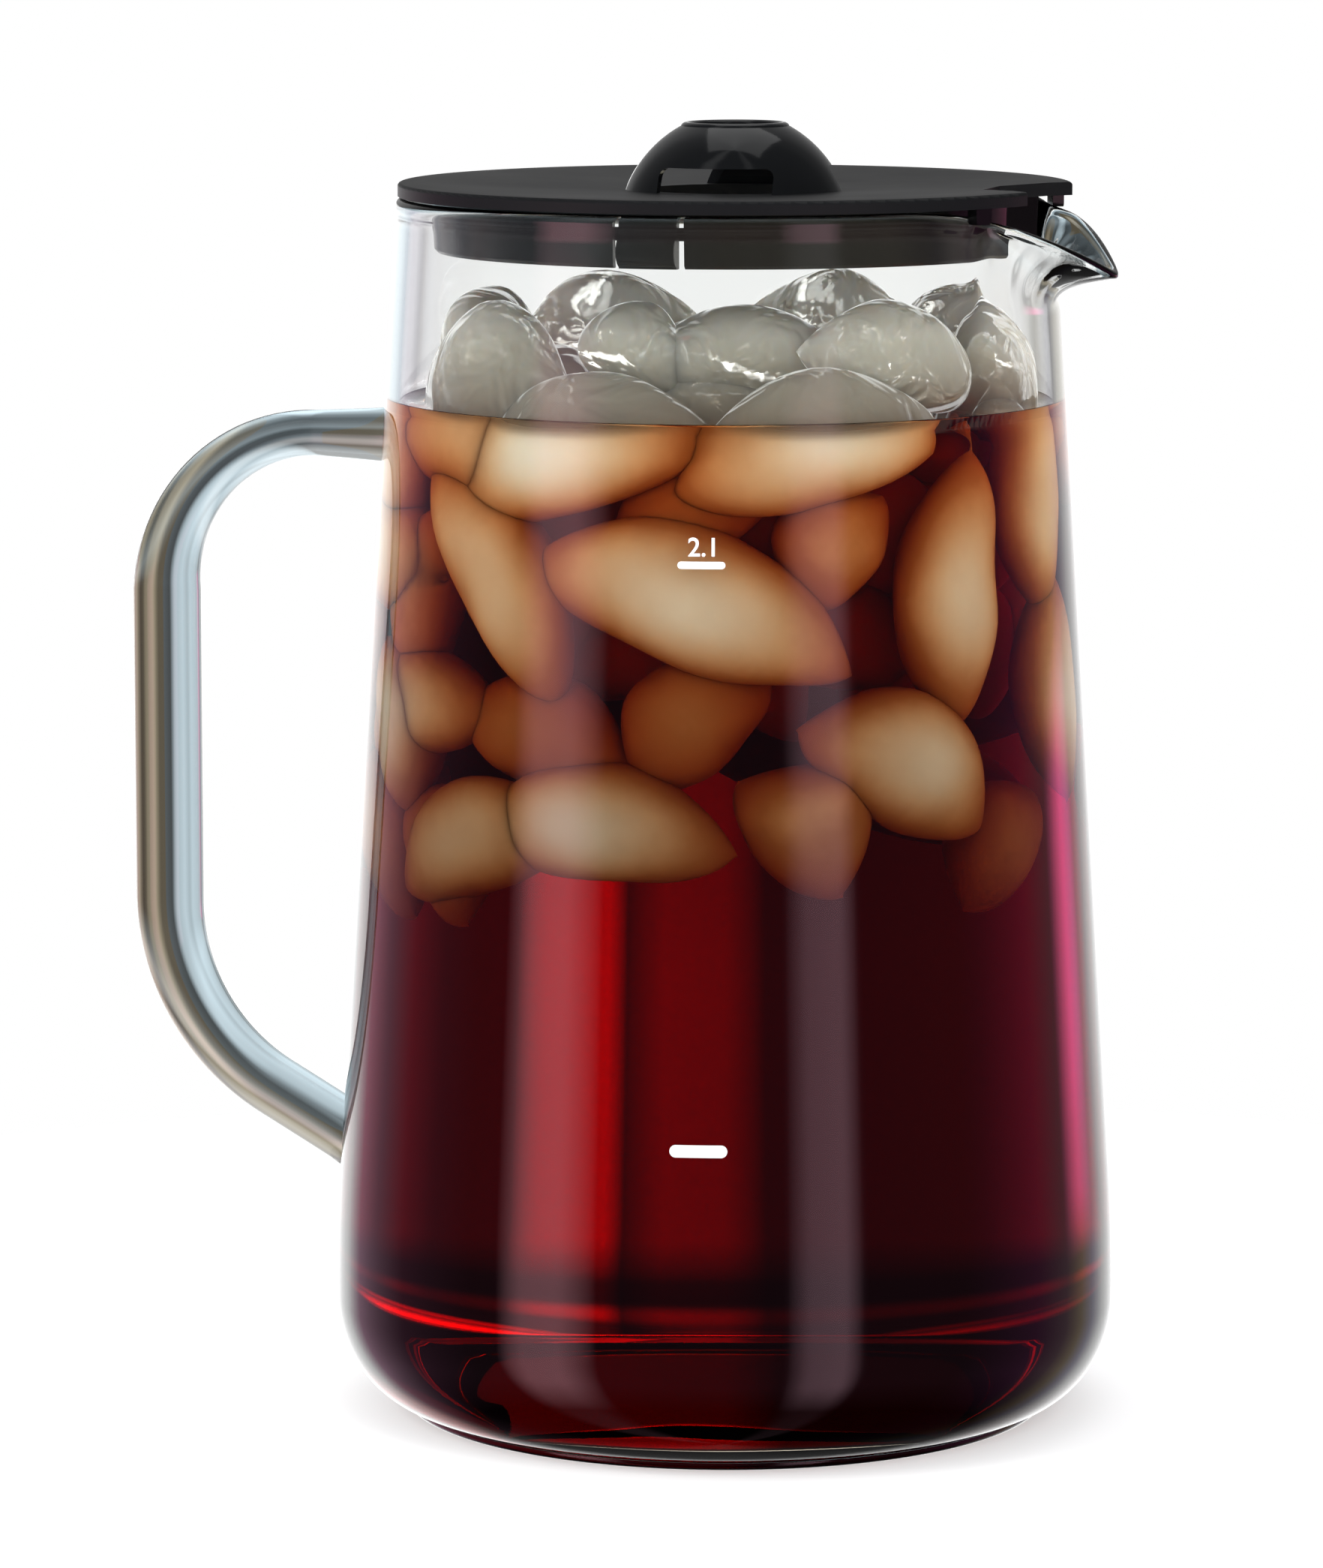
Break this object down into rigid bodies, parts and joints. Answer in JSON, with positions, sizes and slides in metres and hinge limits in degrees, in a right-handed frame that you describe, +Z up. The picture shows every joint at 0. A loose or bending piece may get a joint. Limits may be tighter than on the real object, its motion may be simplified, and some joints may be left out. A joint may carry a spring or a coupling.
{
  "type": "iced tea pitcher",
  "caption": "Clear glass iced tea pitcher with a glass rod handle, a drooping pour spout and a black plastic lift-off lid with a domed knob.",
  "frame": {"origin": "centre of the foot's flat ring, on the surface that the pitcher stands on", "axes": "+Z up along the pitcher's axis, +X towards the pour spout, so the handle is at -X"},
  "size_m": [0.1889, 0.144, 0.2369],
  "materials": {
    "clear_glass": "clear borosilicate glass, fire-polished",
    "white_enamel": "printed white enamel",
    "black_plastic": "moulded polypropylene, satin top and glossy edges"
  },
  "bodies": {
    "pitcher": {"glass_body": "clear_glass", "glass_handle": "clear_glass", "fill_mark_upper": "white_enamel", "fill_mark_lower": "white_enamel"},
    "lid": {"lid_plate": "black_plastic", "lid_skirt": "black_plastic", "pour_wall_near": "black_plastic", "pour_wall_far": "black_plastic", "locating_lug_near": "black_plastic", "locating_lug_far": "black_plastic", "knob_dome": "black_plastic"},
    "tongue_near": {"snap_tongue_near": "black_plastic"},
    "tongue_far": {"snap_tongue_far": "black_plastic"}
  },
  "joints": [
    {"name": "lid_lift", "type": "slide", "parent": "pitcher", "child": "lid", "axis": [0, 0, 1], "range_m": [0, 0.08]},
    {"name": "tongue_near_flex", "type": "hinge", "parent": "lid", "child": "tongue_near", "pos_m": [0.0017, -0.0544, 0.22218], "axis": [1, 0, 0], "range_deg": [0, 6], "stiffness_Nm_per_rad": 0.05},
    {"name": "tongue_far_flex", "type": "hinge", "parent": "lid", "child": "tongue_far", "pos_m": [0.0017, 0.0544, 0.22218], "axis": [-1, 0, 0], "range_deg": [0, 6], "stiffness_Nm_per_rad": 0.05}
  ]
}
